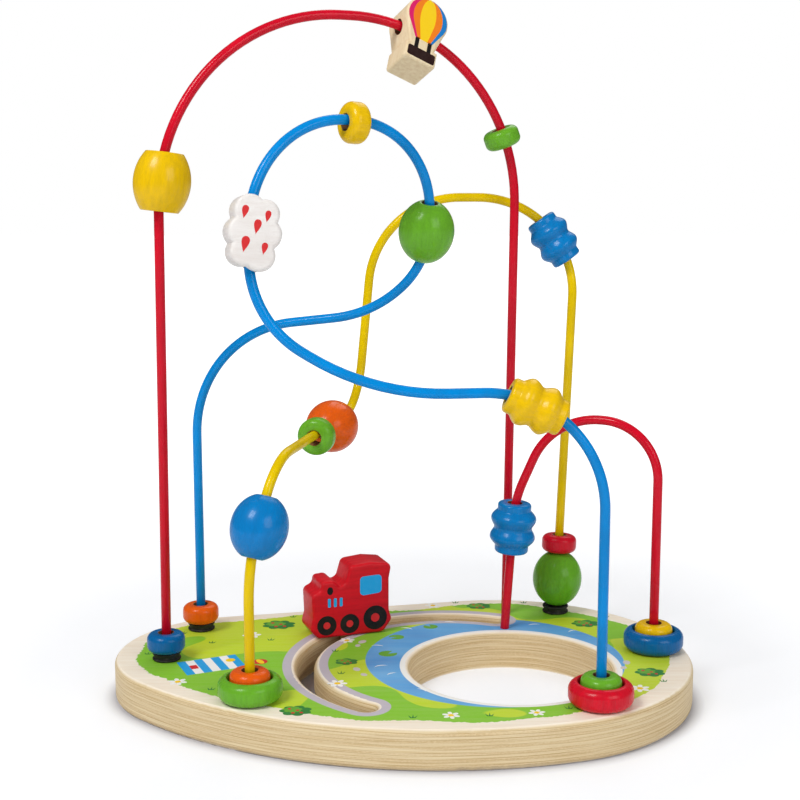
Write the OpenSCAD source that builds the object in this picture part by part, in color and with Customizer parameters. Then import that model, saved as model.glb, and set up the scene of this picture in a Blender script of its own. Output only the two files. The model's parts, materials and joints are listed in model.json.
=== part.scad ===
// Bead maze: a plywood board with four bent wires, wooden beads that slide on
// them, and a small train that runs in a curved slot.
// Millimetres, +Z up. The origin is the middle of the board's underside.

/* [Board] */
// Overall length of the board
board_l = 270; // [266:1:280]
// Thickness of the plywood
board_t = 18; // [16:0.5:22]
// Radius of the narrow left end
left_r = 56; // [54:0.5:60]
// Radius of the broad right end
right_r = 86.5; // [85:0.5:90]
// Radius of the bowed front side
front_r = 190; // [180:1:210]
// How much further back the left end's centre lies than the right end's
left_step = 3; // [0:0.5:5]
// Roundover of the board's edges
edge_r = 2.5; // [1:0.25:4]
// Radius of the round pond hole
pond_r = 46.5; // [42:0.5:47.5]
// Centre of the pond hole
pond_at = [49.5, -13]; // [-60:0.5:60]

/* [Track] */
// Centre of the train's curved slot
track_at = [22, -8]; // [-30:0.5:30]
// Radius of the slot's middle line
track_r = 67; // [66:0.5:69]
// Width of the slot
slot_w = 8; // [7.5:0.1:9]
// Roundover of the slot's upper edges
slot_edge = 3; // [1:0.25:3.5]
// Where the slot starts, at the back, in degrees about its centre
track_from = 68; // [66:1:80]
// Where the slot ends, at the front
track_to = 236; // [215:1:238]
// Width of the groove below the slot that the train's washer runs in
groove_w = 15; // [14.6:0.1:16]
// Depth of that groove
groove_d = 7.5; // [7.5:0.1:9]

/* [Wires] */
// Diameter of the painted steel wire
wire_d = 4; // [3:0.1:4.4]
// Depth of the holes that the wires are glued into
hole_deep = 14; // [10:0.5:15]
// Slack all round between a wire and its hole
hole_slack = 0.05; // [0.02:0.01:0.1]
// Height of the tall arch above the board
tall_h = 295; // [280:1:320]
// Height of the small arch above the board
small_h = 108; // [104:1:120]
// Height of the blue loop's top above the board
loop_h = 245; // [235:1:255]
// Height of the yellow arch at the back above the board
wave_h = 212; // [200:1:225]
// Height of the yellow wire's level stretch above the board
wave_run_h = 102; // [96:1:108]
// Diameter of the black rubber grommets
grommet_d = 13.2; // [11:0.1:15]
// Height of the grommets
grommet_h = 4; // [3:0.1:4.6]
// Slack all round between a grommet and its wire
grommet_slack = 0.2; // [0.2:0.05:0.4]

/* [Beads] */
// Diameter of the hole through every bead
bore_d = 7; // [6.8:0.1:7.6]
// Gap left between a bead and the wire that it hangs on
hang_gap = 0.3; // [0.2:0.05:0.4]
// Diameter of the round beads
ball_d = 25; // [20:0.5:26]
// Length of the round beads along the wire
ball_l = 27; // [24:0.5:27.5]
// Width of the flat face round the bore of a ball
bead_face = 1; // [0.5:0.1:3]
// Diameter of the small disc beads
disc_d = 17.5; // [14:0.25:18.5]
// Thickness of the disc beads
disc_l = 9; // [6:0.25:9.25]
// Rounding of the disc beads' rims
disc_edge = 3.6; // [1:0.1:4.5]
// Diameter of the barrel bead
barrel_d = 25.5; // [20:0.5:28]
// Length of the barrel bead
barrel_l = 26; // [20:0.5:27]
// Diameter of the barrel bead's flat ends
barrel_end_d = 17.85; // [12:0.05:19]
// Diameter over the ribs of the ribbed beads
ribbed_d = 20.5; // [18:0.5:21]
// Length of the ribbed beads
ribbed_l = 25; // [22:0.5:26]
// How much wider the ribbed bead on the small arch is
broad_ribbed = 1.08; // [1:0.01:1.1]
// Diameter of the collars at the ends of the ribbed beads
collar_d = 15.17; // [12:0.01:16]
// Rounding of the collars
collar_edge = 1.5; // [0.5:0.1:2]
// Diameter of the waist between the ribs
waist_d = 16.81; // [13:0.01:18]
// Length of the thicker middle that the ribs stand on
waist_l = 12.5; // [8:0.1:14]
// Width of a rib
rib_w = 5.7; // [4:0.1:6.5]
// Rounding of a rib
rib_edge = 2.6125; // [1:0.0125:2.7]
// How far a rib's middle lies from the middle of its bead
rib_at = 4.75; // [4:0.05:6]
// Outer diameter of the loose rings round the foot beads
ring_d = 28; // [26:0.5:29]
// Diameter of the hole in the rings
ring_hole_d = 19.6; // [19.2:0.1:20.5]
// Height of the rings
ring_h = 10; // [7:0.25:11]
// Rounding of the rings' outer edges
ring_edge = 4.2; // [1:0.1:5]
// Bevel of the rings' inner edges
ring_bevel = 1; // [0.5:0.1:1.5]

/* [Places on the wires] */
// Angle of the barrel from the start of its bend
tall_barrel_at = 6.5; // [4:0.5:70]
// Angle of the balloon from the start of its bend
tall_balloon_at = 23; // [10:0.5:46]
// Angle of the tall arch's disc from the start of its bend
tall_disc_at = 68; // [60:0.5:86]
// Angle of the blue wire's ball from the start of its bend
loop_ball_at = 38; // [14:0.5:39]
// Angle of the blue wire's disc from the start of its bend
loop_disc_at = 79; // [20:0.5:83]
// Distance of the cloud from the start of its straight stretch
loop_cloud_at = 4; // [2:0.5:10]
// Angle of the blue wire's ribbed bead from the start of its bend
loop_ribbed_at = 26; // [15:0.5:76]
// Angle of the yellow wire's front ball from the start of its bend
wave_front_ball_at = 21.5; // [8:0.5:21.5]
// Distance of the yellow wire's disc from the start of its straight stretch
wave_disc_at = 38; // [6:0.5:38]
// Distance of the yellow wire's middle ball from the same place
wave_ball_at = 61; // [57:0.5:65]
// Angle of the yellow wire's ribbed bead from the start of its bend
wave_ribbed_at = 55; // [17:0.5:77]
// Distance of the small arch's ribbed bead from the lower end of its leg
small_ribbed_at = 66.5; // [33:0.5:68]
// Turn of the balloon about the wire
balloon_turn = -25; // [-60:1:60]
// Turn of the cloud about the wire
cloud_turn = 75; // [60:1:90]

/* [Figures] */
// Thickness of the balloon
balloon_t = 18; // [12:0.5:20]
// Height of the balloon
balloon_h = 36; // [32:0.5:38]
// How far the balloon's top lies over the middle of its bore
balloon_top = 16.2; // [12:0.1:18]
// Radius of the balloon's envelope
envelope_r = 11.16; // [9:0.01:12]
// Height of the balloon's basket
basket_h = 9; // [7:0.1:10]
// Width of the basket
basket_w = 16.56; // [13:0.01:18]
// Width of the neck above the basket
neck_w = 12.24; // [10:0.01:14]
// Thickness of the cloud
cloud_t = 18; // [12:0.5:20]
// Height of the cloud along the wire
cloud_h = 31; // [29:0.5:32]

/* [Train] */
// Length of the train
train_l = 42; // [36:0.5:46]
// Height of the train
train_h = 36; // [30:0.5:42]
// Thickness of the train
train_t = 18; // [12:0.5:20]
// Rounding of the train's upright corners
train_round = 3.5; // [1:0.1:5]
// Rounding of the corners in the train's outline
outline_round = 1.6; // [0.5:0.1:2]
// Diameter of the peg under the train
peg_d = 6; // [4:0.1:7]
// How far the peg goes up into the train
peg_in = 12; // [8:0.5:16]
// Thickness of the washer in the groove
washer_t = 3.4; // [2:0.1:4]
// Slack all round between the washer and the groove's walls
washer_slack = 0.5; // [0.3:0.1:1]
// Diameter of the screw
screw_d = 2.5; // [2:0.1:3]
// Length of the screw below its head
screw_l = 8; // [6:0.5:12]
// Height of the screw's head
head_h = 2; // [1:0.1:2.5]
// How far the head reaches over the peg
head_over = 2; // [1.5:0.1:3]
// How much the head narrows downwards, at each side
head_taper = 1; // [0:0.1:1.5]
// Place of the train along the slot, in degrees about the slot's centre
train_at = 138; // [90:1:200]
// Direction that the train faces, turned from the board's length
train_yaw = 20; // [-180:1:180]

/* [Hidden] */
$fn = 48;

WOOD = [0.93, 0.83, 0.66];
RED = [0.80, 0.08, 0.16];
BLUE = [0.00, 0.49, 0.82];
YELLOW = [0.95, 0.80, 0.05];
GREEN = [0.45, 0.70, 0.15];
ORANGE = [0.93, 0.42, 0.06];
BLACK = [0.08, 0.08, 0.08];
WHITE = [0.93, 0.92, 0.90];
STEEL = [0.70, 0.70, 0.72];

// How far a cut reaches past what it cuts
cut = 1;
// Where two round forms would only touch, one is made smaller by `thin` and they lap.
thin = 0.04;
// Step by which the board's bodies stand over its faces before they are trimmed
over = 0.5;
// The rounding of the board's edge stops short of its faces by this much of its height.
edge_lift = 0.15;
// Half the strip that the board's wedge laps over the bodies beside it
wedge_lap = 9;
// How far a wire's straight runs lap over the ends of its bends
lap = 0.6;
// Depth that is left in the screw's hole below the screw's tip
screw_room = 1;
// Length and height that the train's outline is drawn at
drawn_train = [42, 36];
// Height that the cloud's lobes are drawn at
drawn_cloud = 31;
wire_r = wire_d / 2;
bore_r = bore_d / 2;
// A bead hangs on its wire, so its middle lies this far from the wire's.
hang = bore_r - wire_r - hang_gap;
// A foot bead stands just clear of the grommet under it.
stand = grommet_h + hang_gap;
// On the leaning leg it tips with the wire, so that it stands a little higher.
lean_rise = 0.3;
lean_stand = stand + lean_rise;

// Board outline. Two round ends, a front bowed on one arc that touches both, and a
// straight back that touches both. The right end's centre is found so that the board
// reaches equally far to the front and to the back.
lobe_gap = [board_l - left_r - right_r, -left_step];
lobe_dist = norm(lobe_gap);
bow_x = (pow(front_r - left_r, 2) - pow(front_r - right_r, 2) + pow(lobe_dist, 2)) / (2 * lobe_dist);
bow_y = sqrt(pow(front_r - left_r, 2) - pow(bow_x, 2));
lobe_dir = lobe_gap / lobe_dist;
bow_from_left = bow_x * lobe_dir + bow_y * [-lobe_dir.y, lobe_dir.x];
right_y = (front_r - bow_from_left.y - left_step - right_r) / 2;
right_at = [board_l / 2 - right_r, right_y];
left_at = [-board_l / 2 + left_r, right_y + left_step];
bow_at = left_at + bow_from_left;
// Directions, seen from the arcs' centres, in which the outline changes arc, and the
// angle at each end of the bow that is left to the round end there
bow_lap = 2;
bow_left = atan2(left_at.y - bow_at.y, left_at.x - bow_at.x);
bow_right = atan2(right_at.y - bow_at.y, right_at.x - bow_at.x);
back_normal = 90 + atan2(lobe_gap.y, lobe_gap.x) + asin((right_r - left_r) / lobe_dist);

// Wire feet on the board. Those on the left keep their distance from the left end's centre,
// those on the right from the right end's.
left_x = left_at.x;
right_x = right_at.x;
tall_left = [left_x - 31, -4];
tall_right = [right_x + 4.5, 65.5];
loop_back = [left_x - 21, 40];
loop_front = [right_x + 35.5, -61];
wave_front = [left_x + 13.5, -55];
wave_back = [right_x + 29.9, 67];
small_left = [right_x + 1.5, 41.5];
small_right = [right_x + 70.5, 9];

// Each wire's route: the corners of its bends, given by place on the board, from a foot
// where they belong to its leg, and by height above the board, and the radius of each bend.
// The bends over the legs of the tall arch and of the blue wire grow and shrink with the
// distance between the feet.
function foot(p) = [p.x, p.y, -hole_deep];
function above(p, h) = [p.x, p.y, h];
function beside(p, x, y, h) = [p.x + x, p.y + y, h];
function lift(route) = [for (p = route) p + [0, 0, board_t]];

tall_route = lift([
    foot(tall_left), beside(tall_left, 2.5, 1, tall_h), beside(tall_right, 3, 0.5, tall_h),
    foot(tall_right)]);
tall_bends = [86, 86];
tall_span = 163;
tall_arcs = tall_bends * (tall_right.x - tall_left.x) / tall_span;
small_route = lift([
    foot(small_left), beside(small_left, 5, -2.5, small_h - 42), beside(small_left, 22, -10.5, small_h + 1),
    above(small_right, small_h), foot(small_right)]);
small_bends = [60, 36, 27];
wave_route = lift([
    foot(wave_front), above(wave_front, wave_run_h - 40), beside(wave_front, 11.5, 15, wave_run_h),
    beside(wave_front, 42.5, 129, wave_run_h + 4), beside(wave_back, -91.4, 12.5, wave_h),
    beside(wave_back, 9.6, 12.5, wave_h), foot(wave_back)]);
wave_bends = [90, 24, 26, 46, 48];
loop_route = lift([
    foot(loop_back), above(loop_back, loop_h - 97), [-14, 18, loop_h - 86], [12, 5, loop_h - 61],
    [12, -12, loop_h], [-61, -56, loop_h], [-63, -62, loop_h - 81], [-12, -62, loop_h - 112],
    above(loop_front, loop_h - 110), foot(loop_front)]);
loop_bends = [56, 60, 46, 46, 45, 44, 105, 50];
loop_span = 184;
loop_grow = (loop_front.x - loop_back.x) / loop_span;
loop_last = len(loop_bends) - 1;
loop_arcs = [for (i = [0 : loop_last]) loop_bends[i] * (i == 0 || i == loop_last ? loop_grow : 1)];

// Route arithmetic. Run i is the straight wire from corner i to the next one, and
// bend i is the arc that rounds off corner i.
function unit(v) = v / norm(v);
function dir(w, i) = unit(w[i + 1] - w[i]);
function turn(w, i) = acos(dir(w, i - 1) * dir(w, i));
function is_end(w, i) = i == 0 || i == len(w) - 1;
function tangent(w, b, i) = is_end(w, i) ? 0 : b[i - 1] * tan(turn(w, i) / 2);
function run_start(w, b, i) = w[i] + dir(w, i) * tangent(w, b, i);
function run_len(w, b, i) = norm(w[i + 1] - w[i]) - tangent(w, b, i) - tangent(w, b, i + 1);
function bend_axis(w, i) = unit(cross(dir(w, i - 1), dir(w, i)));
function bend_start(w, b, i) = w[i] - dir(w, i - 1) * tangent(w, b, i);
function bend_inward(w, i) = cross(bend_axis(w, i), dir(w, i - 1));
function bend_centre(w, b, i) = bend_start(w, b, i) + bend_inward(w, i) * b[i - 1];
// Across a run, the direction that is nearest to straight up, or to the back on a leg
function lean_up(t) = abs(t.z) > 0.8 ? [0, 1, 0] : [0, 0, 1];
function run_up(t) = unit(lean_up(t) - (lean_up(t) * t) * t);

// Puts children at a point, with their X and Z axes along the given directions.
module frame(at, x, z) {
    y = cross(z, x);
    multmatrix([
        [x.x, y.x, z.x, at.x],
        [x.y, y.y, z.y, at.y],
        [x.z, y.z, z.z, at.z],
        [0, 0, 0, 1]])
        children();
}

// A wire bent along a route: round bar on the runs, a piece of torus on each bend.
// The bending thins the wire a hair, so that a run laps over the ends of its bends.
module bent_wire(w, b) {
    last = len(w) - 2;
    for (i = [0 : last])
        frame(run_start(w, b, i), run_up(dir(w, i)), dir(w, i))
            translate([0, 0, i == 0 ? 0 : -lap])
                cylinder(r = wire_r, h = run_len(w, b, i) + (i == 0 || i == last ? lap : 2 * lap));
    for (i = [1 : last])
        frame(bend_centre(w, b, i), -bend_inward(w, i), bend_axis(w, i))
            rotate_extrude(angle = turn(w, i))
                translate([b[i - 1], 0])
                    circle(r = wire_r - thin);
}

// Puts a bead on run i, its middle at distance s along it, hanging by `drop`
module on_run(w, b, i, s, drop = hang) {
    t = dir(w, i);
    frame(run_start(w, b, i) + t * s - run_up(t) * drop, run_up(t), t)
        children();
}

// Puts a bead on bend i, at an angle from the bend's start. The bead's X axis points
// away from the bend's centre and its Z axis along the wire.
module on_bend(w, b, i, angle) {
    frame(bend_centre(w, b, i), -bend_inward(w, i), bend_axis(w, i))
        rotate([0, 0, angle])
            translate([b[i - 1] - hang, 0, 0])
                rotate([-90, 0, 0])
                    children();
}

// Puts a bead on the leg that starts at a foot, with its lower end at a height above
// the board
module on_leg(w, b, height, length, drop = hang) {
    on_run(w, b, 0, hole_deep + height + length / 2, drop)
        children();
}

// The same on the leg that ends at a foot
module on_last_leg(w, b, height, length, drop = hang) {
    last = len(w) - 2;
    on_run(w, b, last, run_len(w, b, last) - hole_deep - height - length / 2, drop)
        children();
}

// Half of a flat round form's cross-section, from the middle out, with both outer corners
// rounded
module edge_profile(r, t, e) {
    square([r - e, t]);
    translate([0, e])
        square([r, t - 2 * e]);
    for (z = [e, t - e])
        translate([r - e, z])
            circle(r = e);
}

// Cross-section of the board from the centre of an arc out to its rounded edge. It stands
// over the board's faces by a height that is trimmed off later.
module board_profile(r, above) {
    low = edge_r - edge_lift;
    high = board_t - low;
    translate([0, -above])
        square([r - edge_r, board_t + 2 * above]);
    translate([0, low])
        square([r, high - low]);
    for (z = [low, high])
        translate([r - edge_r, z])
            circle(r = edge_r);
}

// The whole disc of the board round the centre of one of its arcs
module board_disc(at, r, above) {
    translate([at.x, at.y, 0])
        rotate_extrude()
            board_profile(r, above);
}

// The bowed front, from its arc back to just behind the line through both round ends
module board_bow(above) {
    intersection() {
        translate([bow_at.x, bow_at.y, 0])
            rotate([0, 0, bow_left + bow_lap])
                rotate_extrude(angle = bow_right - bow_left - 2 * bow_lap)
                    board_profile(front_r - thin, above);
        translate([left_at.x, left_at.y, -board_t])
            rotate([0, 0, atan2(lobe_gap.y, lobe_gap.x)])
                translate([-board_l, wedge_lap / 2 - 2 * board_l, 0])
                    cube([3 * board_l, 2 * board_l, 3 * board_t]);
    }
}

// The straight back: an edge strip as deep as the left end's radius, and the wedge between
// it and the bowed front
module board_back(above) {
    back_len = sqrt(pow(lobe_dist, 2) - pow(right_r - left_r, 2));
    fall = left_r - right_r;
    translate([left_at.x, left_at.y, 0])
        rotate([0, 0, back_normal - 90]) {
            rotate([90, 0, 90])
                linear_extrude(back_len)
                    board_profile(left_r - thin, above);
            translate([0, 0, -above - over])
                linear_extrude(board_t + 2 * (above + over))
                    polygon([
                        [0, wedge_lap],
                        [0, -wedge_lap],
                        [back_len, fall - wedge_lap],
                        [back_len, wedge_lap]
                    ]);
        }
}

// The board's bodies stand over its faces by different heights, so that no two share a flat
// face, and one cut trims them all.
module board_body() {
    intersection() {
        translate([-board_l, -board_l, 0])
            cube([2 * board_l, 2 * board_l, board_t]);
        union() {
            board_disc(right_at, right_r, over);
            board_disc(left_at, left_r, 2 * over);
            board_bow(3 * over);
            board_back(4 * over);
        }
    }
}

// Half of the slot's cross-section, from its middle line out, a hair larger where asked
module slot_half(more = 0) {
    w = slot_w / 2 + more;
    translate([0, -cut])
        square([w, board_t + 2 * cut]);
    translate([0, -cut])
        square([groove_w / 2 + more, groove_d + more + cut]);
    rounded_mouth(w, slot_edge + more);
}

// The flare that rounds over the upper edge of an opening of half width w
module rounded_mouth(w, e) {
    difference() {
        translate([0, board_t - e])
            square([w + e, e + cut]);
        translate([w + e, board_t - e])
            circle(r = e);
    }
}

module slot_cut() {
    translate([track_at.x, track_at.y, 0]) {
        rotate([0, 0, track_from])
            rotate_extrude(angle = track_to - track_from)
                translate([track_r, 0]) {
                    slot_half();
                    mirror([1, 0])
                        slot_half();
                }
        for (a = [track_from, track_to])
            rotate([0, 0, a])
                translate([track_r, 0, 0])
                    rotate_extrude()
                        slot_half(thin);
    }
}

module pond_cut() {
    translate([pond_at.x, pond_at.y, 0])
        rotate_extrude() {
            translate([0, -cut])
                square([pond_r, board_t + 2 * cut]);
            rounded_mouth(pond_r, edge_r);
        }
}

// Hole for the wire end that starts at a point and runs along a direction
module wire_hole(at, along) {
    frame(at, run_up(along), along)
        cylinder(r = wire_r + hole_slack, h = hole_deep + 2 * cut);
}

module base_board() {
    color(WOOD)
        difference() {
            board_body();
            pond_cut();
            slot_cut();
            for (w = [tall_route, loop_route, wave_route, small_route]) {
                last = len(w) - 1;
                wire_hole(w[0], dir(w, 0));
                wire_hole(w[last], -dir(w, last - 1));
            }
        }
}

module tall_wire() { color(RED) bent_wire(tall_route, tall_arcs); }
module loop_wire() { color(BLUE) bent_wire(loop_route, loop_arcs); }
module wave_wire() { color(YELLOW) bent_wire(wave_route, wave_bends); }
module small_wire() { color(RED) bent_wire(small_route, small_bends); }

// Rubber grommet: a low ring with two lips, round the wire's foot
module grommet() {
    lip = grommet_h / 3;
    bore = wire_r + grommet_slack;
    wide = grommet_d / 2 - lip / 2;
    color(BLACK)
        rotate_extrude()
            difference() {
                union() {
                    square([wide, grommet_h]);
                    for (z = [lip / 2, grommet_h - lip / 2])
                        translate([wide, z])
                            circle(r = lip / 2);
                }
                translate([-cut, -cut])
                    square([bore + cut, grommet_h + 2 * cut]);
            }
}

// A grommet stands square on the board where the leg from a to b comes out of it.
module foot_grommet(a, b) {
    at = a + (b - a) * (board_t + grommet_h / 2 - a.z) / (b.z - a.z);
    translate([at.x, at.y, board_t])
        grommet();
}

module first_grommet(w) { foot_grommet(w[0], w[1]); }
module last_grommet(w) { foot_grommet(w[len(w) - 1], w[len(w) - 2]); }

module grommet_tall() { first_grommet(tall_route); }
module grommet_loop_back() { first_grommet(loop_route); }
module grommet_loop_front() { last_grommet(loop_route); }
module grommet_wave_front() { first_grommet(wave_route); }
module grommet_wave_back() { last_grommet(wave_route); }
module grommet_small() { last_grommet(small_route); }

// Turned bead: a belly of one arc between two flat ends of a given diameter
module belly_bead(d, l, end_d) {
    rise = (d - end_d) / 2;
    arc_r = (pow(rise, 2) + pow(l / 2, 2)) / (2 * rise);
    rotate_extrude()
        difference() {
            intersection() {
                translate([d / 2 - arc_r, 0])
                    circle(r = arc_r, $fn = 96);
                translate([0, -l / 2])
                    square([d, l]);
            }
            translate([-d, -l])
                square([d + bore_r, 2 * l]);
        }
}

// Round bead of two half balls with a narrow band between them, and a flat face round each
// mouth of its bore
module ball_bead() {
    r = ball_d / 2;
    reach = sqrt(pow(r, 2) - pow(bore_r + bead_face, 2));
    band = max(ball_l - 2 * reach, thin);
    rotate_extrude()
        difference() {
            intersection() {
                union() {
                    translate([0, -band / 2])
                        square([r, band]);
                    for (z = [-band / 2, band / 2])
                        translate([0, z])
                            circle(r = r, $fn = 96);
                }
                translate([0, -ball_l / 2])
                    square([ball_d, ball_l]);
            }
            translate([-ball_d, -ball_l])
                square([ball_d + bore_r, 2 * ball_l]);
        }
}

module barrel_bead() { belly_bead(barrel_d, barrel_l, barrel_end_d); }

// Flat bead with a rounded rim
module disc_bead() {
    rotate_extrude()
        translate([0, -disc_l / 2])
            difference() {
                edge_profile(disc_d / 2, disc_l, disc_edge);
                translate([-disc_d, -cut])
                    square([disc_d + bore_r, disc_l + 2 * cut]);
            }
}

// Turned bead with a collar at each end, two full ribs and a waist between them, made wider
// by a factor where asked
module ribbed_bead(wider = 1) {
    d = wider * ribbed_d;
    rotate_extrude()
        difference() {
            union() {
                translate([0, -ribbed_l / 2])
                    edge_profile(wider * collar_d / 2, ribbed_l, collar_edge);
                translate([0, -waist_l / 2])
                    square([wider * waist_d / 2, waist_l]);
                for (z = [-rib_at, rib_at])
                    translate([0, z - rib_w / 2])
                        edge_profile(d / 2, rib_w, rib_edge);
            }
            translate([-d, -ribbed_l])
                square([d + bore_r, 2 * ribbed_l]);
        }
}

// Loose ring that lies round a foot bead
module loose_ring() {
    rotate_extrude()
        translate([0, -ring_h / 2])
            difference() {
                edge_profile(ring_d / 2, ring_h, ring_edge);
                translate([-ring_d, -cut])
                    square([ring_d + ring_hole_d / 2, ring_h + 2 * cut]);
                for (z = [0, ring_h])
                    translate([ring_hole_d / 2, z])
                        rotate(45)
                            square(ring_bevel * sqrt(2), center = true);
            }
}

module tall_foot_bead() { color(BLUE) on_leg(tall_route, tall_arcs, stand, disc_l) disc_bead(); }
module tall_barrel() { color(YELLOW) on_bend(tall_route, tall_arcs, 1, tall_barrel_at) barrel_bead(); }
module tall_disc() { color(GREEN) on_bend(tall_route, tall_arcs, 2, tall_disc_at) disc_bead(); }

module loop_foot_bead() { color(ORANGE) on_leg(loop_route, loop_arcs, stand, disc_l) disc_bead(); }
module loop_ball() { color(GREEN) on_bend(loop_route, loop_arcs, 3, loop_ball_at) ball_bead(); }
module loop_disc() { color(YELLOW) on_bend(loop_route, loop_arcs, 4, loop_disc_at) disc_bead(); }
module loop_ribbed() { color(YELLOW) on_bend(loop_route, loop_arcs, 8, loop_ribbed_at) ribbed_bead(); }
module loop_hub() { color(GREEN) on_last_leg(loop_route, loop_arcs, stand, disc_l, 0) disc_bead(); }
module loop_ring() { color(RED) on_last_leg(loop_route, loop_arcs, hang_gap, ring_h, 0) loose_ring(); }

module wave_hub() { color(ORANGE) on_leg(wave_route, wave_bends, stand, disc_l, 0) disc_bead(); }
module wave_ring() { color(GREEN) on_leg(wave_route, wave_bends, hang_gap, ring_h, 0) loose_ring(); }
module wave_front_ball() { color(BLUE) on_bend(wave_route, wave_bends, 1, wave_front_ball_at) ball_bead(); }
module wave_disc() { color(GREEN) on_run(wave_route, wave_bends, 2, wave_disc_at) disc_bead(); }
module wave_ball() { color(ORANGE) on_run(wave_route, wave_bends, 2, wave_ball_at) ball_bead(); }
module wave_ribbed() { color(BLUE) on_bend(wave_route, wave_bends, 5, wave_ribbed_at) ribbed_bead(); }
module wave_back_ball() { color(GREEN) on_last_leg(wave_route, wave_bends, lean_stand, ball_l) ball_bead(); }
module wave_back_disc() {
    color(RED)
        on_last_leg(wave_route, wave_bends, lean_stand + ball_l + hang_gap, disc_l)
            disc_bead();
}

module small_ribbed() {
    color(BLUE)
        on_run(small_route, small_bends, 0, small_ribbed_at)
            ribbed_bead(broad_ribbed);
}
module small_hub() { color(YELLOW) on_last_leg(small_route, small_bends, stand, disc_l, 0) disc_bead(); }
module small_ring() { color(BLUE) on_last_leg(small_route, small_bends, hang_gap, ring_h, 0) loose_ring(); }

// Hot-air balloon, flat, with the wire through the lower part of its envelope.
// Its height runs along X and its bore along Z.
module tall_balloon() {
    bottom = balloon_top - balloon_h;
    basket_lap = 0.8 * basket_h;
    shoulder = [balloon_top - 1.45 * envelope_r, 0.87 * envelope_r];
    color(WHITE)
        on_bend(tall_route, tall_arcs, 2, tall_balloon_at)
            rotate([0, 0, balloon_turn])
                difference() {
                    rotate([90, 0, 0])
                        linear_extrude(balloon_t, center = true) {
                            translate([balloon_top - envelope_r, 0])
                                circle(r = envelope_r);
                            polygon([
                                [bottom + basket_lap, -neck_w / 2],
                                [shoulder.x, -shoulder.y],
                                [shoulder.x, shoulder.y],
                                [bottom + basket_lap, neck_w / 2]]);
                            translate([bottom, -basket_w / 2])
                                square([basket_h, basket_w]);
                        }
                    cylinder(r = bore_r, h = 2 * balloon_h, center = true);
                }
}

// Cloud with round lobes, flat, with the wire through its length. It hangs to the side
// that the wire bends to at both of its ends.
module loop_cloud() {
    lobe = cloud_h / drawn_cloud;
    lobes = [[9, 2, 6.5], [7.5, -4, 6], [0.5, 4.5, 6.5], [-0.5, -4.5, 6.5], [-7.5, 4, 6], [-9, -2, 6.5]];
    middle = [10, 18];
    color(WHITE)
        on_run(loop_route, loop_arcs, 5, loop_cloud_at, 0)
            rotate([0, 0, cloud_turn])
                translate([hang, 0, 0])
                    difference() {
                        rotate([90, 0, 0])
                            linear_extrude(cloud_t, center = true) {
                                for (c = lobes)
                                    translate([c[1], c[0]] * lobe)
                                        circle(r = c[2] * lobe);
                                square(middle * lobe, center = true);
                            }
                        cylinder(r = bore_r, h = 2 * cloud_h, center = true);
                    }
}

// The train stands on its peg, which goes down through the slot. A washer in the groove
// below, held by a screw in the peg's end, keeps it on the board.
train_foot = [
    track_at.x + track_r * cos(train_at), track_at.y + track_r * sin(train_at), board_t + hang_gap];
washer_low = groove_d - hang_gap - washer_t;
peg_low = washer_low - hang_gap;

module at_train() {
    translate(train_foot)
        rotate([0, 0, train_yaw])
            children();
}

// Outline of a small steam engine, facing left: length along X, height along Y
module train_outline() {
    scale_x = train_l / drawn_train.x;
    scale_y = train_h / drawn_train.y;
    outline = [
        [-17, 0], [-21, 4.5], [-19.5, 10], [-20, 22], [-15.5, 24], [-15, 28], [-9, 28.5], [-6, 25],
        [-3, 26.5], [-0.5, 35], [10, 36], [21, 34.5], [19.5, 27], [19.5, 11], [21, 6], [16.5, 0]];
    offset(r = outline_round)
        offset(delta = -outline_round)
            polygon([for (p = outline) [p.x * scale_x, p.y * scale_y]]);
}

// The train's plan, which rounds off its front and back
module rounded_rect(l, w, r) {
    square([l - 2 * r, w], center = true);
    square([l, w - 2 * r], center = true);
    for (x = [r - l / 2, l / 2 - r], y = [r - w / 2, w / 2 - r])
        translate([x, y])
            circle(r = r);
}

module train_body() {
    color(RED)
        at_train()
            difference() {
                intersection() {
                    rotate([90, 0, 0])
                        linear_extrude(train_t, center = true)
                            train_outline($fn = 24);
                    linear_extrude(train_h)
                        rounded_rect(train_l, train_t, train_round);
                }
                translate([0, 0, -cut])
                    cylinder(d = peg_d + 2 * hole_slack, h = peg_in + cut);
            }
}

module train_peg() {
    color(WOOD)
        translate([train_foot.x, train_foot.y, 0])
            difference() {
                translate([0, 0, peg_low])
                    cylinder(d = peg_d, h = train_foot.z + peg_in - peg_low);
                translate([0, 0, peg_low - cut])
                    cylinder(d = screw_d + 2 * hole_slack, h = screw_l + screw_room + cut);
            }
}

module train_washer() {
    color(BLACK)
        translate([train_foot.x, train_foot.y, washer_low])
            difference() {
                cylinder(d = groove_w - 2 * washer_slack, h = washer_t);
                translate([0, 0, -cut])
                    cylinder(d = peg_d + 2 * hang_gap, h = washer_t + 2 * cut);
            }
}

module train_screw() {
    head_d = peg_d + 2 * head_over;
    color(STEEL)
        translate([train_foot.x, train_foot.y, peg_low]) {
            translate([0, 0, -head_h])
                cylinder(d1 = head_d - 2 * head_taper, d2 = head_d, h = head_h);
            cylinder(d = screw_d, h = screw_l);
        }
}

base_board();
tall_wire();
loop_wire();
wave_wire();
small_wire();
grommet_tall();
grommet_loop_back();
grommet_loop_front();
grommet_wave_front();
grommet_wave_back();
grommet_small();
tall_foot_bead();
tall_barrel();
tall_balloon();
tall_disc();
loop_foot_bead();
loop_ball();
loop_disc();
loop_cloud();
loop_ribbed();
loop_hub();
loop_ring();
wave_hub();
wave_ring();
wave_front_ball();
wave_disc();
wave_ball();
wave_ribbed();
wave_back_disc();
wave_back_ball();
small_ribbed();
small_hub();
small_ring();
train_body();
train_peg();
train_washer();
train_screw();
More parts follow.
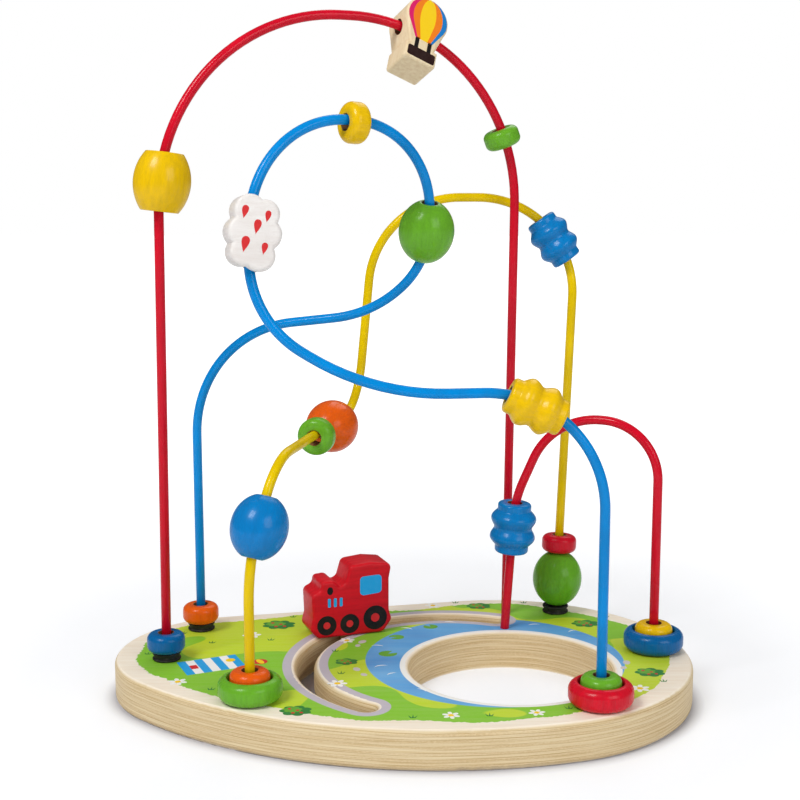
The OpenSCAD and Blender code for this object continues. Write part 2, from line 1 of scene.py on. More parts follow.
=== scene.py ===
# Bead maze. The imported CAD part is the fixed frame, and every piece rides on one of its bodies.
import json
import math

import bpy
from mathutils import Matrix, Vector


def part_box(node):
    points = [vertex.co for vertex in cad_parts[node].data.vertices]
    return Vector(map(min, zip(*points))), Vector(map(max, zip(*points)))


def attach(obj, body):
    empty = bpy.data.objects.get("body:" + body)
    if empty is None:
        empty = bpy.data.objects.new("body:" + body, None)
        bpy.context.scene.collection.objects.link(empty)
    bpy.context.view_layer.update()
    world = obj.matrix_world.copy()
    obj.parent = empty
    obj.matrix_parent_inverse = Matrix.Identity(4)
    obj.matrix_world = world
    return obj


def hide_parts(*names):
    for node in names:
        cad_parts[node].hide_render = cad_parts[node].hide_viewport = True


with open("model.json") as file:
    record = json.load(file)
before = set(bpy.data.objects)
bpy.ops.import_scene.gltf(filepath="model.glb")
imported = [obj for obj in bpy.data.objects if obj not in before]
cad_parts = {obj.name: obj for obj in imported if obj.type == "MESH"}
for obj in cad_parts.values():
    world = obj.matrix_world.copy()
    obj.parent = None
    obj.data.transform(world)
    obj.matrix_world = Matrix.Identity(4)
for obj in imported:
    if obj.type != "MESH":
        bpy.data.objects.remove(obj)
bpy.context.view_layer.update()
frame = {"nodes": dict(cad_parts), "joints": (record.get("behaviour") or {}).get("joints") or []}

# Board
# Birch plywood, sawn to an egg shape, its edges rounded over, with the pond hole and the
# train's slot routed through it. The rim and the walls show the plies, the top is printed
# with a lawn, water round the pond and a road beside the slot.
MM = 0.001


class Value:
    """An output of a node. Arithmetic on values adds Math nodes."""

    def __init__(self, tree, socket=None):
        self.tree = tree
        self.socket = socket

    def node(self, kind, settings=None, inputs=None, out=0):
        """Adds a node: first its settings, then what goes into its sockets."""
        made = self.tree.nodes.new(kind)
        for key, setting in (settings or {}).items():
            setattr(made, key, setting)
        dress(made, inputs or {})
        return Value(self.tree, made.outputs[out])

    def math(self, operation, *values):
        """The result of a Math node on the given values."""
        return self.node("ShaderNodeMath", {"operation": operation}, dict(enumerate(values)))

    def __add__(self, other):
        return self.math("ADD", self, other)

    def __radd__(self, other):
        return self.math("ADD", other, self)

    def __sub__(self, other):
        return self.math("SUBTRACT", self, other)

    def __rsub__(self, other):
        return self.math("SUBTRACT", other, self)

    def __mul__(self, other):
        return self.math("MULTIPLY", self, other)

    def __rmul__(self, other):
        return self.math("MULTIPLY", other, self)

    def __truediv__(self, other):
        return self.math("DIVIDE", self, other)

    def __rtruediv__(self, other):
        return self.math("DIVIDE", other, self)

    def __abs__(self):
        return self.math("ABSOLUTE", self)

    def least(self, *others):
        """The smallest of this and other values."""
        value = self
        for other in others:
            value = self.math("MINIMUM", value, other)
        return value

    def most(self, *others):
        """The largest of this and other values."""
        value = self
        for other in others:
            value = self.math("MAXIMUM", value, other)
        return value

    def over(self, limit, soft):
        """0 below a limit and 1 above it, with a soft edge of the given width."""
        return self.node(
            "ShaderNodeMath",
            {"operation": "ADD", "use_clamp": True},
            {0: (self - limit) / soft, 1: 0.5},
        )

    def mix(self, low, high):
        """The colour that goes from low to high as this value goes from 0 to 1."""
        return self.node("ShaderNodeMix", {"data_type": "RGBA"}, {0: self, 6: low, 7: high}, 2)

    def axes(self):
        """The three numbers of a vector."""
        split = self.node("ShaderNodeSeparateXYZ", inputs={0: self}).socket.node
        return [Value(self.tree, out) for out in split.outputs]

    def stretch(self, x, y, z):
        """This vector with each of its numbers multiplied."""
        return self.node(
            "ShaderNodeVectorMath", {"operation": "MULTIPLY"}, {0: self, 1: (x, y, z)})

    def noise(self, detail=2.0):
        """Soft noise, about 0.5, that changes over steps of one unit."""
        return self.node(
            "ShaderNodeTexNoise", inputs={"Vector": self, "Scale": 1, "Detail": detail})

    def bump(self, depth):
        """The normal of a surface that this value raises by up to a depth in mm."""
        return self.node(
            "ShaderNodeBump", inputs={"Height": self, "Distance": depth * MM, "Strength": 1})


def finish(name, made_at=None):
    """A new material, its shader, and the place of a point on the piece, in mm.

    A piece that was turned to its place after it was made has its grain turned with it.
    """
    made = bpy.data.materials.new(name)
    made.use_nodes = True
    place = Value(made.node_tree).node("ShaderNodeTexCoord", out="Object")
    place = place.stretch(1 / MM, 1 / MM, 1 / MM)
    if made_at is not None:
        place = place.node(
            "ShaderNodeVectorRotate",
            {"rotation_type": "EULER_XYZ", "invert": True},
            {"Vector": place, "Rotation": made_at.to_euler("XYZ")},
        )
    return made, made.node_tree.nodes["Principled BSDF"], place


def dress(node, sockets):
    """Sets or links the sockets of a shader or another node."""
    for key, value in sockets.items():
        if isinstance(value, Value):
            value.tree.links.new(value.socket, node.inputs[key])
        else:
            node.inputs[key].default_value = value


def rgb(red, green, blue):
    """A colour given as on a screen, 0 to 255, as Blender takes it."""
    linear = []
    for c in (red / 255, green / 255, blue / 255):
        linear.append(c / 12.92 if c <= 0.04045 else ((c + 0.055) / 1.055) ** 2.4)
    return (*linear, 1.0)


def clothe(node, material):
    """Gives a CAD node its material."""
    frame["nodes"][node].data.materials.clear()
    frame["nodes"][node].data.materials.append(material)


# Sizes and places of the board and of its print, in mm
BOARD_T = 18.0
LEFT_END = (-79.0, 5.71)
LEFT_R = 56.0
RIGHT_END = (48.5, 2.71)
RIGHT_R = 86.5
FRONT_BOW = (15.43, 100.79)
FRONT_R = 190.0
BACK_NORMAL = math.radians(102.49)
POND = (49.5, -13.0)
POND_R = 46.5
WATER = (42.7, -4.3)
WATER_R = 60.0
WHITE_LINE = 4.4
TRACK = (22.0, -8.0)
TRACK_R = 67.0
TRACK_MIDDLE = math.radians(152)
TRACK_HALF = math.radians(84)
ROAD_HALF = 10.5
PLIES = 13
PLY_T = BOARD_T / PLIES

# Colours of the wood and of the print
BIRCH = rgb(252, 243, 226)
BIRCH_DARK = rgb(242, 226, 202)
FACE_RIM = rgb(232, 214, 176)
FACE_RIM_DARK = rgb(220, 196, 150)
END_GRAIN = rgb(222, 200, 158)
END_GRAIN_DARK = rgb(200, 170, 122)
GLUE = rgb(178, 146, 100)
LAWN = rgb(130, 200, 14)
MEADOW = rgb(194, 220, 14)
ROAD = rgb(192, 186, 196)
WATER_DEEP = rgb(54, 146, 216)
WATER_PALE = rgb(98, 178, 232)
WHITE_INK = rgb(246, 245, 240)

plywood, shader, place = finish("plywood_printed")
x, y, z = place.axes()


def distance(dx, dy):
    """The length of a line in plan, from its two parts."""
    squares = dx * dx + dy * dy
    return squares.math("SQRT", squares)


def from_point(at):
    """How far the point at x and y is from another, in plan."""
    return distance(x - at[0], y - at[1])


def ahead(at, angle):
    """How far the point at x and y lies from another along a direction."""
    return (x - at[0]) * math.cos(angle) + (y - at[1]) * math.sin(angle)


def heading(start, end):
    """The direction from one place to another, in plan."""
    return math.atan2(end[1] - start[1], end[0] - start[0])


RIGHT_ANGLE = math.pi / 2
STEEP = 5
OVERLAP = 20


def inside_edge():
    """How far the point at x and y lies inside the board's outline, in plan.

    The front and the back each fall away steeply past their own ends.
    """
    in_front = ahead(LEFT_END, heading(LEFT_END, RIGHT_END) - RIGHT_ANGLE)
    front = (FRONT_R - from_point(FRONT_BOW)).least(
        ahead(FRONT_BOW, heading(FRONT_BOW, LEFT_END) + RIGHT_ANGLE) * STEEP,
        ahead(FRONT_BOW, heading(FRONT_BOW, RIGHT_END) - RIGHT_ANGLE) * STEEP,
        in_front + OVERLAP,
    )
    back = (LEFT_R - ahead(LEFT_END, BACK_NORMAL)).least(
        ahead(LEFT_END, BACK_NORMAL - RIGHT_ANGLE) * STEEP,
        ahead(RIGHT_END, BACK_NORMAL + RIGHT_ANGLE) * STEEP,
        OVERLAP - in_front,
    )
    left, right = LEFT_R - from_point(LEFT_END), RIGHT_R - from_point(RIGHT_END)
    return left.most(right, front, back)


# The wood: alternate plies along and across the board, with a thin glue line between them
PORES = (0.25, 5, 5)
PLY_WAVER = 1.4
PLY_SHARE = 0.45
GLUE_SHARE = 0.85
FACE_T = 0.5
along_grain = place.stretch(0.035, 0.5, 1.3).noise(4)
pores = place.stretch(*PORES).noise(2)
across_grain = place.stretch(0.9, 0.9, 2.2).noise(4)
streaks = place.stretch(0.04, 0.04, 3.4).noise(5)
fine_streaks = place.stretch(0.025, 0.025, 1.7).noise(4)
waver = place.stretch(0.02, 0.02, 0.01).noise(1) * PLY_WAVER - PLY_WAVER / 2
ply = (z + waver) / PLY_T * math.pi
ply = ply.math("SINE", ply)
face_ply = along_grain.over(0.52, 0.6).mix(BIRCH, BIRCH_DARK)
rim_ply = streaks.over(0.52, 0.22).mix(FACE_RIM, FACE_RIM_DARK)
cross_ply = across_grain * 0.4 + streaks * 0.6
cross_ply = cross_ply.over(0.52, 0.2).mix(END_GRAIN, END_GRAIN_DARK)
rim = ply.over(0, 0.7) * PLY_SHARE + fine_streaks.over(0.5, 0.2) * (1 - PLY_SHARE)
rim = rim.mix(cross_ply, rim_ply)
glue_line = (1 - abs(ply).over(0.18, 0.3)) * streaks.over(0.46, 0.2) * GLUE_SHARE
face = abs(z - BOARD_T / 2).over(BOARD_T / 2 - FACE_T, 0.6)
wood = face.mix(glue_line.mix(rim, GLUE), face_ply)

# The print, which stops short of the rounded edges
PRINT_SOFT = 0.25
MARGIN_WANDER = 16
MARGIN_RAGGED = 2.6
MARGIN_LEAST = 0.6
top = z.over(BOARD_T - 0.07, 0.04)
wander = place.stretch(0.022, 0.022, 0).noise(1) * MARGIN_WANDER
ragged = place.stretch(0.45, 0.45, 0).noise(1) * MARGIN_RAGGED
lawn = (inside_edge() - (wander + ragged + MARGIN_LEAST)).over(0, PRINT_SOFT)
green = place.stretch(0.013, 0.017, 0).noise(1).over(0.53, 0.004).mix(LAWN, MEADOW)
water = 1 - from_point(WATER).over(WATER_R, PRINT_SOFT)
blue = place.stretch(0.02, 0.05, 0).noise(2).over(0.5, 0.35).mix(WATER_PALE, WATER_DEEP)
line = 1 - from_point(POND).over(POND_R + WHITE_LINE, 0.2)
along = ahead(TRACK, TRACK_MIDDLE)
beside = abs(ahead(TRACK, TRACK_MIDDLE + RIGHT_ANGLE))
past_end = beside.math("ARCTAN2", beside, along).over(TRACK_HALF, 0.001)
end_x, end_y = TRACK_R * math.cos(TRACK_HALF), TRACK_R * math.sin(TRACK_HALF)
to_track = abs(distance(along, beside) - TRACK_R) * (1 - past_end)
to_track = to_track + distance(along - end_x, beside - end_y) * past_end
road = 1 - to_track.over(ROAD_HALF, PRINT_SOFT)
print_colour = water.mix(green, blue)
print_colour = line.mix(print_colour, WHITE_INK)
print_colour = road.mix(print_colour, ROAD)
printed = lawn.most(water, road) * top
show_through = (along_grain - 0.5) * 0.16 + (pores - 0.5) * 0.1 + 0.06
colour = printed.mix(wood, show_through.mix(print_colour, BIRCH_DARK))
dress(shader, {
    "Base Color": colour,
    "Roughness": 0.5 - printed * 0.12 + (across_grain - 0.5) * 0.2,
    "Normal": (along_grain * 0.5 + pores * 0.5 + abs(ply) * 0.25).bump(0.06),
    "Specular IOR Level": 0.2,
})
clothe("base_board", plywood)

# Print on the lawn
# Small flowers, bushes, grass, lily pads, stones and a picnic blanket, screen-printed on
# the board: flat films of ink, one piece for each colour.
FILM = 0.03
WORN = 0.15
PETALS = 6


def outline_piece(name, points, faces, place=None, smooth=None):
    """A mesh piece from points in mm, flat or smooth up to an angle between its faces."""
    mesh = bpy.data.meshes.new(name)
    mesh.from_pydata([Vector(p) * MM for p in points], [], faces)
    mesh.validate()
    if smooth is not None:
        mesh.polygons.foreach_set("use_smooth", [True] * len(mesh.polygons))
        mesh.set_sharp_from_angle(angle=math.radians(smooth))
    piece = bpy.data.objects.new(name, mesh)
    bpy.context.scene.collection.objects.link(piece)
    if place is not None:
        piece.matrix_world = place
    return piece


def square_up(piece):
    """Turns a piece's mesh instead of the piece, so that its box lies along the frame's axes."""
    place = piece.matrix_world.copy()
    piece.data.transform(place.to_3x3().to_4x4())
    piece.matrix_world = Matrix.Translation(place.translation)


def films(name, shapes, material, body, layer, place):
    """Printed shapes of one colour, each a flat prism of ink on the XY plane of a place."""
    points, faces = [], []
    for shape in shapes:
        first, count = len(points), len(shape)
        for height in (-FILM, FILM * layer):
            points += [(u, v, height) for u, v in shape]
        faces.append(tuple(range(first, first + count))[::-1])
        faces.append(tuple(range(first + count, first + 2 * count)))
        for k in range(count):
            n = (k + 1) % count
            faces.append((first + k, first + n, first + count + n, first + count + k))
    piece = outline_piece(name, points, faces, place)
    square_up(piece)
    piece.data.materials.append(material)
    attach(piece, body)


def ink(name, colour):
    """Screen ink: satin, a little uneven, with the wood's pores showing faintly."""
    made, shader, place = finish(name)
    mottle = place.stretch(0.4, 0.4, 0.4).noise(3)
    pores = place.stretch(*PORES).noise(2)
    tint = (mottle.over(0.62, 0.5) + pores.over(0.66, 0.3)) * 0.1
    pale = tuple((1 - WORN) * c + WORN * w for c, w in zip(colour, BIRCH_DARK))
    dress(shader, {
        "Base Color": tint.mix(colour, pale),
        "Roughness": 0.36 + mottle * 0.1,
        "Normal": pores.bump(0.02),
        "Specular IOR Level": 0.2,
    })
    return made


def placed(points, at_x, at_y, turn):
    """Points turned about the origin by an angle in degrees, then moved to a place."""
    c, s = math.cos(math.radians(turn)), math.sin(math.radians(turn))
    return [(at_x + u * c - v * s, at_y + u * s + v * c) for u, v in points]


def oval(at_x, at_y, half_long, half_wide, turn=0.0, count=20):
    """A closed oval, its long axis turned from X by an angle in degrees."""
    angles = [2 * math.pi * k / count for k in range(count)]
    ring = [(half_long * math.cos(a), half_wide * math.sin(a)) for a in angles]
    return placed(ring, at_x, at_y, turn)


def flower(at_x, at_y, size, turn):
    """The petals of a flower, each an oval beside its middle."""
    petals = []
    for k in range(PETALS):
        a = turn + 360 * k / PETALS
        middle = placed([(0.62 * size, 0)], at_x, at_y, a)[0]
        petals.append(oval(*middle, 0.4 * size, 0.25 * size, a, 14))
    return petals


def bush(at_x, at_y, size, lobes, turn=0.0):
    """A scalloped round of leaves, a little wider than high."""
    ring = []
    count = 12 * lobes
    for k in range(count):
        a = 2 * math.pi * k / count
        r = size * (0.8 + 0.2 * abs(math.sin(lobes * a / 2 + turn)))
        ring.append((at_x + r * math.cos(a), at_y + 0.82 * r * math.sin(a)))
    return ring


def tuft(at_x, at_y, size):
    """Three blades of grass."""
    blades = []
    for lean, tall in ((-0.5, 0.8), (0.05, 1.1), (0.55, 0.75)):
        tip = (at_x + lean * size, at_y + tall * size)
        foot, half = at_x + 0.35 * lean * size, 0.13 * size
        blades.append([(foot - half, at_y), (foot + half, at_y), tip])
    return blades


def ripple(at_x, at_y, size, turn, steps=4):
    """A short bowed stroke that thins to both ends."""
    upper, lower = [], []
    for k in range(2 * steps + 1):
        share = k / steps - 1
        swell = size * (1 - share ** 2)
        bow, half = 0.35 * swell, 0.13 * swell
        upper.append((size * share, bow + half))
        lower.append((size * share, bow - half))
    return placed(lower + upper[::-1][1:-1], at_x, at_y, turn)


def lily(at_x, at_y, size, turn, notch=22, steps=24):
    """A round leaf with a notch of twice an angle in degrees."""
    ring = [(at_x, at_y)]
    for k in range(steps + 1):
        a = math.radians(turn + notch + (360 - 2 * notch) * k / steps)
        ring.append((at_x + size * math.cos(a), at_y + 0.9 * size * math.sin(a)))
    return ring


def band(at_x, at_y, turn, from_u, to_u, half):
    """A straight band across the blanket."""
    corners = ((from_u, -half), (to_u, -half), (to_u, half), (from_u, half))
    return placed(corners, at_x, at_y, turn)


def lawn_print(name, shapes, material, layer=1):
    """Prints shapes on the board's top."""
    top = Matrix.Translation((0, 0, BOARD_T * MM))
    films(name, shapes, material, "base", layer, top)


white_ink = ink("ink_white", WHITE_INK)
yellow_ink = ink("ink_yellow", rgb(250, 208, 20))
red_ink = ink("ink_red", rgb(214, 40, 44))
leaf_ink = ink("ink_leaf", rgb(50, 132, 58))
pale_leaf_ink = ink("ink_pale_leaf", rgb(104, 172, 52))
stone_ink = ink("ink_stone", rgb(206, 200, 196))
sky_ink = ink("ink_sky", rgb(28, 164, 228))

# Flowers by place, size and turn, bushes by place, size and lobes, and tufts by place
DAISIES = (
    (-74, 30, 4.6, 10), (-113, 22, 4.0, 30), (-29, -36, 4.4, 0), (-27, 22, 3.8, 15),
    (104, -42, 4.4, 20), (16, 78, 4.2, 5), (-36, 70, 4.4, 25), (20, -73, 3.8, 40),
    (56, -70, 3.6, 12), (-100, -34, 4.2, 50),
)
BUSHES = (
    (-62, 46, 8.5, 8), (92, 48, 7, 7), (112, -22, 7, 7),
    (40, 77, 6.5, 7), (-26, -8, 5.5, 6), (-45, -68, 7, 7),
)
BERRIES = ((-0.4, 0.3), (0.1, 0.05), (0.35, -0.3), (-0.15, -0.35))
TUFTS = (
    (-120, 2), (-92, 18), (-84, -44), (-64, 22), (-60, -28), (-56, 58), (-18, 74),
    (4, -76), (36, -74), (70, -66), (96, -54), (116, -34), (118, 34), (104, 58),
    (64, 82), (28, 82), (-32, 6), (-28, -24), (-20, 34), (-108, 32),
)
TUFT_SIZE = 3.6

# Ripples and lily pads by place, size and turn, and stones by place, both halves and turn
RIPPLES = (
    (-10, -14, 3.2, 20), (-5, -24, 2.6, 35), (-12, 14, 3.0, -10), (2, 40, 3.4, -25),
    (24, 50, 3.0, -8), (66, 46, 3.0, 12), (84, 36, 2.6, 35), (8, -44, 2.6, -40),
)
LILY_PADS = ((-7, 3, 4.4, 40), (-3, 27, 3.8, 200), (14, 43, 3.6, 120))
STONES = (
    (-19.5, 20, 2.6, 1.7, 60), (-21.5, 14.5, 1.8, 1.3, 80), (-21, -18, 2.4, 1.6, 110),
    (-17.5, -25, 1.9, 1.4, 120), (101, -16, 2.0, 1.4, 70), (103.5, -9, 2.6, 1.7, 85),
)

# The blanket by place and turn, its stripes, the napkin and plate on it, and the ball
BLANKET = (-88, -12, 24)
BLANKET_HALF = (14, 9)
STRIPES = (-14, -6, 2, 10)
STRIPE_WIDE = 4
NAPKIN = (-10.0, -6.6, 2.4)
PLATE = (-80, -6, 2.2, 2.2)
BALL = (-66, -8)
BALL_R = 3.4

petals = sum((flower(*daisy) for daisy in DAISIES), [])
hearts = [oval(u, v, 0.32 * size, 0.32 * size) for u, v, size, _ in DAISIES]
grass = sum((tuft(u, v, TUFT_SIZE) for u, v in TUFTS), [])
bush_lights = [
    bush(u - 0.2 * size, v + 0.15 * size, 0.6 * size, lobes, 0.6)
    for u, v, size, lobes in BUSHES
]
berries = [
    oval(u + du * size, v + dv * size, 0.11 * size, 0.11 * size, 0, 12)
    for u, v, size, _ in BUSHES for du, dv in BERRIES
]
half_long, half_wide = BLANKET_HALF
stripes = [band(*BLANKET, u, u + STRIPE_WIDE, half_wide) for u in STRIPES]
lawn_print("print_petals", petals, white_ink)
lawn_print("print_flower_hearts", hearts, yellow_ink, 2)
lawn_print("print_bushes", [bush(*b) for b in BUSHES] + grass, leaf_ink)
lawn_print("print_bush_lights", bush_lights, pale_leaf_ink, 2)
lawn_print("print_berries", berries, red_ink, 3)
lawn_print("print_ripples", [ripple(*r) for r in RIPPLES], white_ink)
lawn_print("print_lily_pads", [lily(*pad) for pad in LILY_PADS], pale_leaf_ink)
lawn_print("print_stones", [oval(*stone) for stone in STONES], stone_ink)
lawn_print("print_blanket", [band(*BLANKET, -half_long, half_long, half_wide)], white_ink)
lawn_print("print_blanket_blue", stripes, sky_ink, 2)
lawn_print(
    "print_blanket_red", [band(*BLANKET, *NAPKIN), oval(*BALL, BALL_R, BALL_R)], red_ink, 3)
lawn_print("print_ball_yellow", [oval(*BALL, 1.5, 3.2, 30), oval(*PLATE)], yellow_ink, 4)

# Wires
# Steel wire of 4 mm, bent to shape and dipped in enamel, which adds 0.2 mm all round. Each
# end is glued into a hole in the board.
WIRE_R = 2.2
FOOT = 4.0
ENAMEL = {
    "red": rgb(220, 14, 42),
    "blue": rgb(0, 146, 228),
    "yellow": rgb(242, 206, 0),
}

# Each wire's colour, the radii of its bends, and its corners from foot to foot, in mm
ROUTES = {
    "tall_wire": ("red", (86, 86), (
        (-110, -4, FOOT), (-107.5, -3, 313), (56, 66, 313), (53, 65.5, FOOT))),
    "loop_wire": ("blue", (56, 60, 46, 46, 45, 44, 105, 50), (
        (-100, 40, FOOT), (-100, 40, 166), (-14, 18, 177), (12, 5, 202), (12, -12, 263),
        (-61, -56, 263), (-63, -62, 182), (-12, -62, 151), (84, -61, 153), (84, -61, FOOT))),
    "wave_wire": ("yellow", (90, 24, 26, 46, 48), (
        (-65.5, -55, FOOT), (-65.5, -55, 80), (-54, -40, 120), (-23, 74, 124), (-13, 79.5, 230),
        (88, 79.5, 230), (78.4, 67, FOOT))),
    "small_wire": ("red", (60, 36, 27), (
        (50, 41.5, FOOT), (55, 39, 84), (72, 31, 127), (119, 9, 126), (119, 9, FOOT))),
}


def bend(route, number):
    """A bend of a wire: its centre, axis, start, and the angle that it turns by."""
    _, radii, corners = ROUTES[route]
    before, corner, after = (Vector(corners[number + k]) for k in (-1, 0, 1))
    arriving, leaving = (corner - before).normalized(), (after - corner).normalized()
    turn = arriving.angle(leaving)
    axis = arriving.cross(leaving).normalized()
    radius = radii[number - 1]
    start = corner - arriving * radius * math.tan(turn / 2)
    return start + axis.cross(arriving) * radius, axis, start, turn


def bent_line(route, step=3.0):
    """Points along the middle of a wire, close together on its bends."""
    _, _, corners = ROUTES[route]
    line = [Vector(corners[0])]
    for number in range(1, len(corners) - 1):
        centre, axis, start, turn = bend(route, number)
        steps = math.ceil(math.degrees(turn) / step)
        for k in range(steps + 1):
            line.append(centre + Matrix.Rotation(turn * k / steps, 3, axis) @ (start - centre))
    return line + [Vector(corners[-1])]


END_EASE = 0.4
END_SHARE = 0.8


def bar(name, line, radius, sides=24):
    """A round bar along a line of points, with slightly rounded ends."""
    runs = [(there - here).normalized() for here, there in zip(line, line[1:])]
    pairs = zip(runs[:1] + runs, runs + runs[-1:])
    tangents = [(arriving + leaving).normalized() for arriving, leaving in pairs]
    across = tangents[0].orthogonal().normalized()
    rings = []
    for at, along in zip(line, tangents):
        across = (across - along * across.dot(along)).normalized()
        rings.append((at, across, along.cross(across), radius))
    (first, *first_axes, _), (last, *last_axes, _) = rings[0], rings[-1]
    rings[0] = (first + tangents[0] * END_EASE, *first_axes, radius)
    rings[-1] = (last - tangents[-1] * END_EASE, *last_axes, radius)
    rings.insert(0, (first, *first_axes, radius * END_SHARE))
    rings.append((last, *last_axes, radius * END_SHARE))
    points, faces = [], []
    for at, u, v, r in rings:
        for side in range(sides):
            a = 2 * math.pi * side / sides
            points.append(at + (u * math.cos(a) + v * math.sin(a)) * r)
    for low in range(0, len(points) - sides, sides):
        for side in range(sides):
            n = (side + 1) % sides
            faces.append((low + side, low + n, low + sides + n, low + sides + side))
    faces.append(tuple(range(sides))[::-1])
    faces.append(tuple(range(len(points) - sides, len(points))))
    return outline_piece(name, points, faces, smooth=50)


def darker(colour, share):
    """A colour with a share of its own light."""
    return (*(share * c for c in colour[:3]), 1.0)


def enamel(name, colour):
    """Dipped enamel: glossy, a little thicker here and there, and rubbed dull by the beads."""
    made, shader, place = finish(name)
    rubbed = place.stretch(0.09, 0.09, 0.05).noise(3)
    peel = place.stretch(0.9, 0.9, 0.9).noise(1)
    dress(shader, {
        "Base Color": rubbed.over(0.5, 0.6).mix(colour, darker(colour, 0.72)),
        "Roughness": 0.2 + rubbed.over(0.58, 0.12) * 0.14,
        "Normal": peel.bump(0.03),
        "Coat Weight": 0.16,
        "Coat Roughness": 0.06,
        "Specular IOR Level": 0.12,
    })
    return made


enamels = {colour: enamel("enamel_" + colour, value) for colour, value in ENAMEL.items()}
for node, (colour, _, _) in ROUTES.items():
    wire = bar(node + "_bent", bent_line(node), WIRE_R)
    wire.data.materials.append(enamels[colour])
    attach(wire, "base")
    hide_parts(node)
    "enamel_" + colour

# Grommets
# Rings moulded from black rubber, with a lip at the top and at the bottom. They are pushed
# down over the feet of the wires, and the lowest beads stand on them.
GROMMET_R = 6.6
GROMMET_BORE = 2.3
GROMMET_H = 4.0
LIP_R = GROMMET_H / 6


def arc(at_r, at_z, radius, start, end, count):
    """Points on an arc of a profile, from one angle in degrees to another."""
    for k in range(count + 1):
        a = math.radians(start + (end - start) * k / count)
        yield at_r + radius * math.cos(a), at_z + radius * math.sin(a)


def turned(name, profile, place, sides=72):
    """A piece turned round Z from a closed profile of radius and height."""
    points, faces = [], []
    count = len(profile)
    for side in range(sides):
        a = 2 * math.pi * side / sides
        points += [(r * math.cos(a), r * math.sin(a), z) for r, z in profile]
    for side in range(sides):
        n = (side + 1) % sides
        for k in range(count):
            m = (k + 1) % count
            faces.append((side * count + k, n * count + k, n * count + m, side * count + m))
    return outline_piece(name, points, faces, place, smooth=38)


rubber, shader, place = finish("grommet_rubber")
dust = place.stretch(0.6, 0.6, 0.6).noise(4)
dress(shader, {
    "Base Color": dust.over(0.62, 0.3).mix(rgb(24, 23, 24), rgb(64, 60, 58)),
    "Roughness": 0.5 + dust * 0.2,
    "Normal": place.stretch(3, 3, 3).noise(2).bump(0.04),
})
grommet_profile = [
    (GROMMET_BORE, 0),
    *arc(GROMMET_R - LIP_R, LIP_R, LIP_R, -90, 90, 10),
    *arc(GROMMET_R - LIP_R, GROMMET_H - LIP_R, LIP_R, -90, 90, 10),
    (GROMMET_BORE, GROMMET_H),
]
for node in [name for name in frame["nodes"] if name.startswith("grommet_")]:
    low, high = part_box(node)
    middle = (low + high) / 2
    foot = Matrix.Translation((middle.x, middle.y, low.z))
    grommet = turned(node + "_moulded", grommet_profile, foot)
    grommet.data.materials.append(rubber)
    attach(grommet, "base")
    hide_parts(node)

# Turned beads
# Hardwood beads, turned on the lathe, bored through, and dipped in bright lacquer that lets
# the grain show faintly. They slide and spin freely on the wires.
BORE_R = 3.5
LACQUER = {
    "red": rgb(216, 14, 40),
    "blue": rgb(0, 126, 198),
    # A darker copy of the blue, which paints shade on two of the blue beads
    "deep_blue": rgb(0, 100, 164),
    "green": rgb(108, 178, 42),
    "yellow": rgb(242, 196, 0),
    "orange": rgb(238, 96, 12),
}
# Bare wood in the bores, darkened with painted shade
BORE_WOOD_AND_SHADE = rgb(140, 98, 64)
MOUTH_EASE = 0.45

# Degrees that each bead is spun on from the last, so that no two show the same grain
SPIN = 47


def lacquer(name, colour, made_at):
    """Lacquer on turned wood: grain along the bead, fine tool rings, and bare wood in the bore,
    darkened with painted shade.
    """
    made, shader, place = finish(name, made_at)
    x, y, _ = place.axes()
    grain = place.stretch(0.55, 0.55, 0.07).noise(4)
    fibres = place.stretch(3, 3, 0.25).noise(2)
    tooling = place.stretch(0, 0, 2.2).noise(1)
    paint = grain.over(0.54, 0.4) * 0.6 + fibres.over(0.6, 0.3) * 0.35
    paint = paint.mix(colour, darker(colour, 0.74))
    bored = 1 - distance(x, y).over(BORE_R + 0.25, 0.2)
    dress(shader, {
        "Base Color": bored.mix(paint, BORE_WOOD_AND_SHADE),
        "Roughness": 0.27 + grain.over(0.6, 0.3) * 0.08 + bored * 0.35,
        "Normal": (grain * 0.5 + fibres * 0.3 + tooling * 0.4).bump(0.05),
        "Coat Weight": 0.2 - bored * 0.2,
        "Coat Roughness": 0.12,
        "Specular IOR Level": 0.15,
    })
    return made


def bore_mouths(outside, length, bore=BORE_R, ease=MOUTH_EASE):
    """Closes a profile with a bore whose mouths are eased."""
    half, part = length / 2, 0.3 * ease
    low = [(bore, ease - half), (bore + part, part - half), (bore + ease, -half)]
    return low + list(outside) + [(r, -z) for r, z in low[::-1]]


def belly(wide, long, end):
    """One arc between two flat ends."""
    rise = (wide - end) / 2
    radius = (rise ** 2 + (long / 2) ** 2) / (2 * rise)
    reach = math.degrees(math.asin(long / 2 / radius))
    return bore_mouths(arc(wide / 2 - radius, 0, radius, -reach, reach, 40), long)


def round_bead(wide, long, face, steps=24):
    """A ball, a little longer than wide, with a flat face round each mouth of its bore."""
    r = wide / 2
    reach = math.acos((BORE_R + face) / r)
    stretched = long / 2 / math.sin(reach)
    angles = [reach * (k / steps - 1) for k in range(2 * steps + 1)]
    return bore_mouths([(r * math.cos(a), stretched * math.sin(a)) for a in angles], long)


def flat_bead(wide, long, edge, bore=BORE_R, ease=MOUTH_EASE):
    """A short cylinder with rounded rims."""
    half, r = long / 2, wide / 2 - edge
    low = list(arc(r, edge - half, edge, -90, 0, 12))
    return bore_mouths(low + list(arc(r, half - edge, edge, 0, 90, 12)), long, bore, ease)


